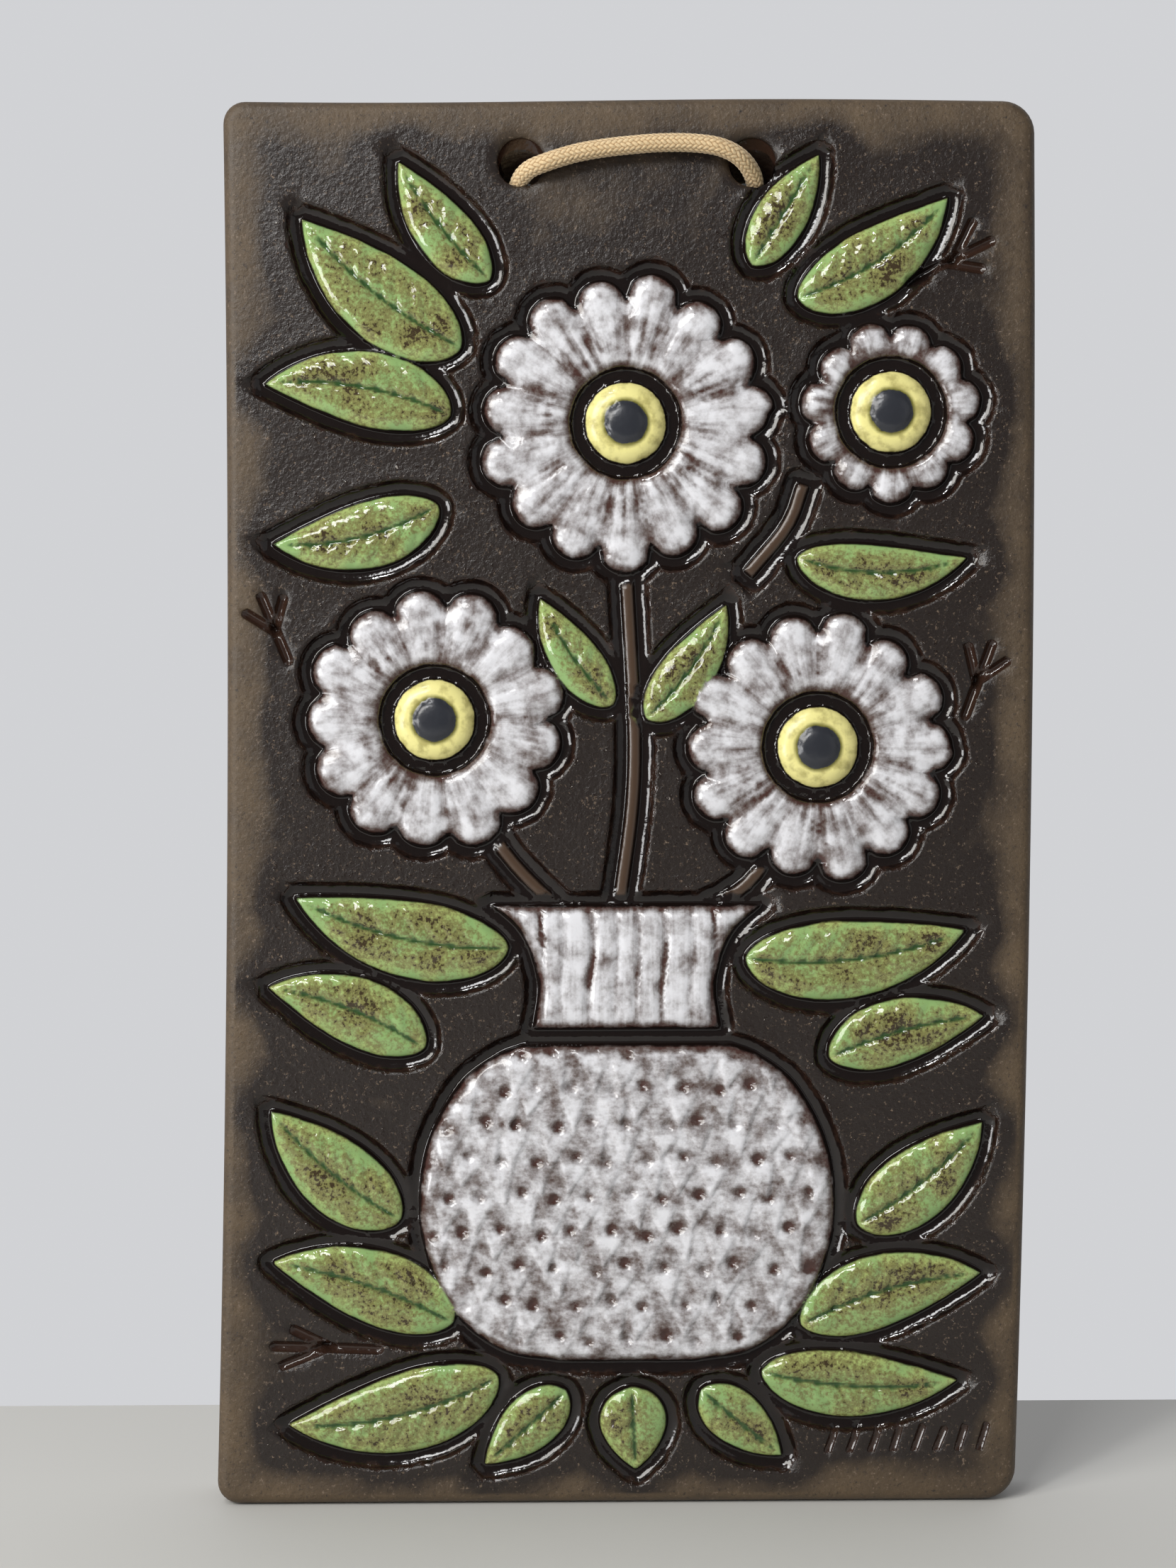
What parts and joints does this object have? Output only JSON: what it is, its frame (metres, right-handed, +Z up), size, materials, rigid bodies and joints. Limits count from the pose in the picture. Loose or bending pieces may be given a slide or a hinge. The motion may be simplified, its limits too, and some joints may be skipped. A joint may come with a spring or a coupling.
{
  "type": "decorative wall plaque",
  "caption": "Stoneware wall plaque with a glazed relief of daisies in a jug among leaves, hung by a cotton cord through two holes.",
  "frame": {"origin": "middle of the slab's flat back face, where it lies against the wall", "axes": "+Z up along the slab's height, +Y out of the back into the wall, +X to the right seen from the front"},
  "size_m": [0.1817, 0.023, 0.3104],
  "materials": {
    "glazed_stoneware": "matt chocolate stoneware; glossy white, green, yellow and near-black glazes on the relief",
    "cord_cotton": "braided cotton, matt"
  },
  "bodies": {
    "root": {"plaque": "glazed_stoneware", "hanging_cord": "cord_cotton", "cord_knot": "cord_cotton"}
  },
  "joints": []
}
